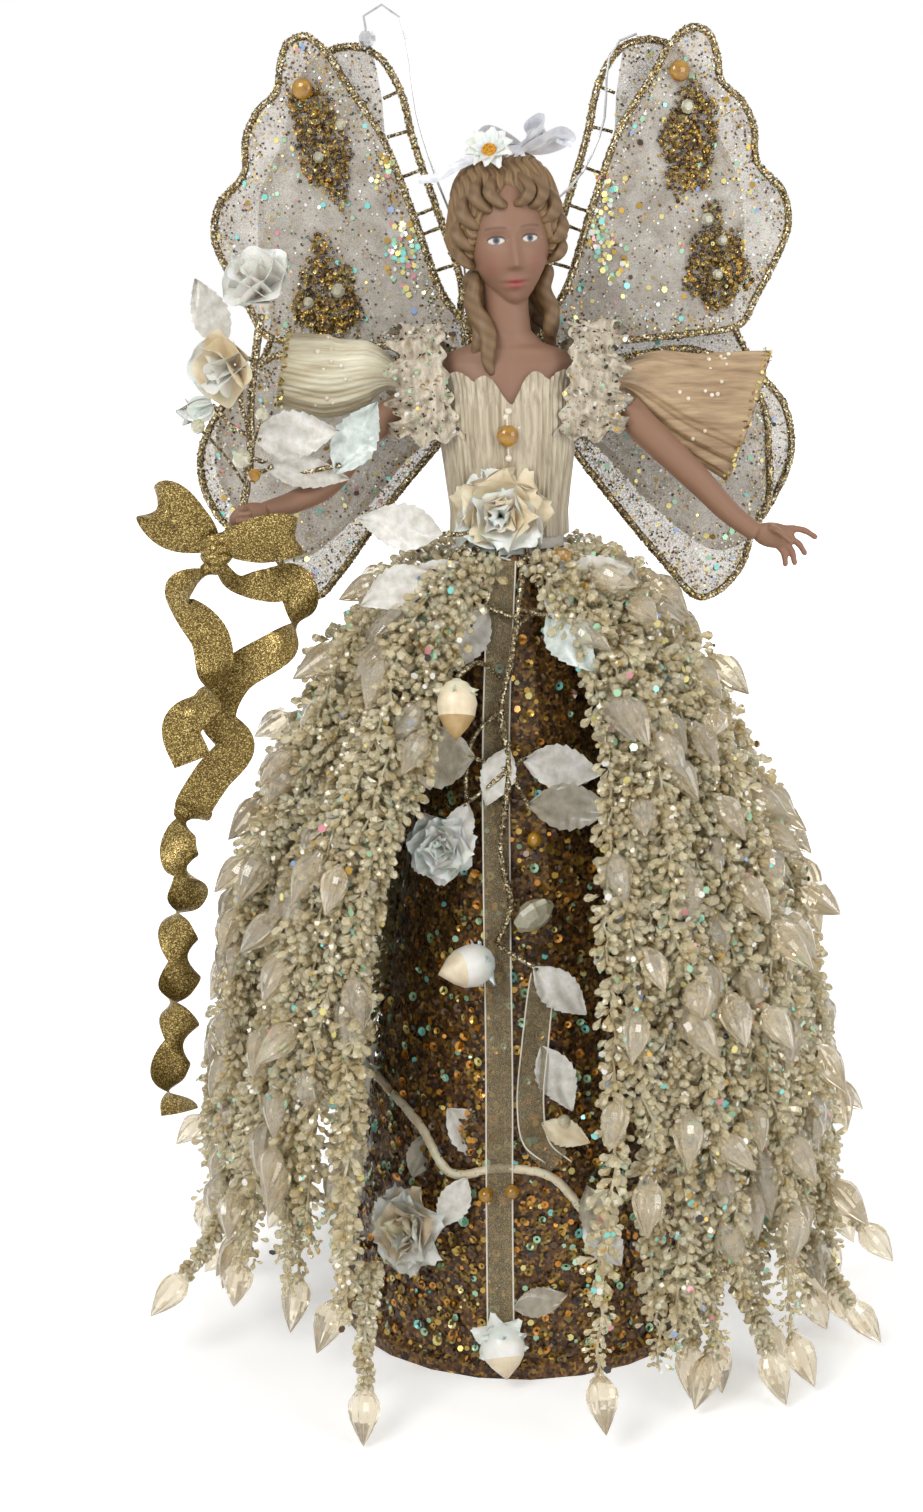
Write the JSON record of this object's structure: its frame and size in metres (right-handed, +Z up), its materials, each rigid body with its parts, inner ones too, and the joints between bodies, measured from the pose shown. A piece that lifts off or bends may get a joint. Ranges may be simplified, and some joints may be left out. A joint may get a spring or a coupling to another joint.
{
  "type": "angel tree topper",
  "caption": "Angel tree topper: half doll on a hollow cone, with lace wings on wire, a skirt of beaded sprays, bendable arms, a bouquet, a garland and ribbons.",
  "frame": {"origin": "on the cone's axis, at the height of its rim and of the lowest bulbs", "axes": "+Z up, -Y to the doll's front, +X to the doll's own left"},
  "size_m": [0.302, 0.2471, 0.5235],
  "materials": {
    "glittered_card": "satin",
    "wood": "matte",
    "foam": "matte",
    "porcelain": "matte",
    "pearl_cloth": "satin",
    "amber": "gloss",
    "petal": "matte",
    "satin": "satin",
    "lace": "matte",
    "gold_wire": "satin",
    "silver_wire": "satin",
    "gold_leaf": "satin",
    "gold_ribbon": "satin",
    "bead": "gloss"
  },
  "bodies": {
    "doll": {"cone_shell": "glittered_card", "centre_dowel": "wood", "torso_form": "foam", "bust": "porcelain", "bodice": "pearl_cloth", "bodice_gem": "amber", "hair_daisy": "petal", "hair_bow": "satin", "right_lace_cap": "lace", "left_lace_cap": "lace", "wing_mount": "pearl_cloth", "skirt_spray_01": "bead", "skirt_spray_02": "bead", "skirt_spray_03": "bead", "skirt_spray_04": "bead", "skirt_spray_05": "bead", "skirt_spray_06": "bead", "skirt_spray_07": "bead", "skirt_spray_08": "bead", "skirt_spray_09": "bead", "skirt_spray_10": "bead", "skirt_spray_11": "bead", "skirt_spray_12": "bead", "waist_rose": "petal", "garland_stem": "gold_leaf", "garland_bud": "petal", "calyx_bud": "petal", "hem_sprig": "gold_leaf", "low_rose": "petal", "hem_blossom": "petal", "front_ribbon": "lace"},
    "right_wing": {"right_upper_wing_wire": "gold_wire", "right_upper_wing_lace": "lace", "right_lower_wing_wire": "gold_wire", "right_lower_wing_lace": "lace", "right_rear_wing_wire": "gold_wire", "right_rear_wing_lace": "lace", "right_wing_tie_wire": "silver_wire"},
    "left_wing": {"left_upper_wing_wire": "gold_wire", "left_upper_wing_lace": "lace", "left_lower_wing_wire": "gold_wire", "left_lower_wing_lace": "lace", "left_rear_wing_wire": "gold_wire", "left_rear_wing_lace": "lace", "left_wing_tie_wire": "silver_wire"},
    "right_arm_group": {"right_arm_wire": "silver_wire", "right_arm": "porcelain", "right_sleeve": "satin", "bouquet_stem": "gold_leaf", "bouquet_rose_top": "petal", "bouquet_rose_middle": "petal", "bouquet_bud": "petal", "ribbon_bow": "gold_ribbon"},
    "left_arm_group": {"left_arm_wire": "silver_wire", "left_arm": "porcelain", "left_sleeve": "satin"},
    "ribbon_tails": {"ribbon_tail_short": "gold_ribbon", "ribbon_tail_curled": "gold_ribbon"}
  },
  "joints": [
    {"name": "right_wing_fold", "type": "hinge", "parent": "doll", "child": "right_wing", "pos_m": [-0.014, 0.024, 0.385], "axis": [0, 0, -1], "range_deg": [-8, 30]},
    {"name": "left_wing_fold", "type": "hinge", "parent": "doll", "child": "left_wing", "pos_m": [0.014, 0.024, 0.385], "axis": [0, 0, 1], "range_deg": [-8, 30]},
    {"name": "right_arm_raise", "type": "hinge", "parent": "doll", "child": "right_arm_group", "pos_m": [-0.031, -0.002, 0.3836], "axis": [0, 1, 0], "range_deg": [0, 10]},
    {"name": "left_arm_raise", "type": "hinge", "parent": "doll", "child": "left_arm_group", "pos_m": [0.031, -0.002, 0.3836], "axis": [0, -1, 0], "range_deg": [-12, 20]},
    {"name": "ribbon_tails_hang", "type": "hinge", "parent": "right_arm_group", "child": "ribbon_tails", "pos_m": [-0.1115, -0.035, 0.323], "axis": [0, 1, 0], "range_deg": [-10, 0]}
  ],
  "couplings": [
    {"joint": "ribbon_tails_hang", "follows": "right_arm_raise", "ratio": -1}
  ]
}
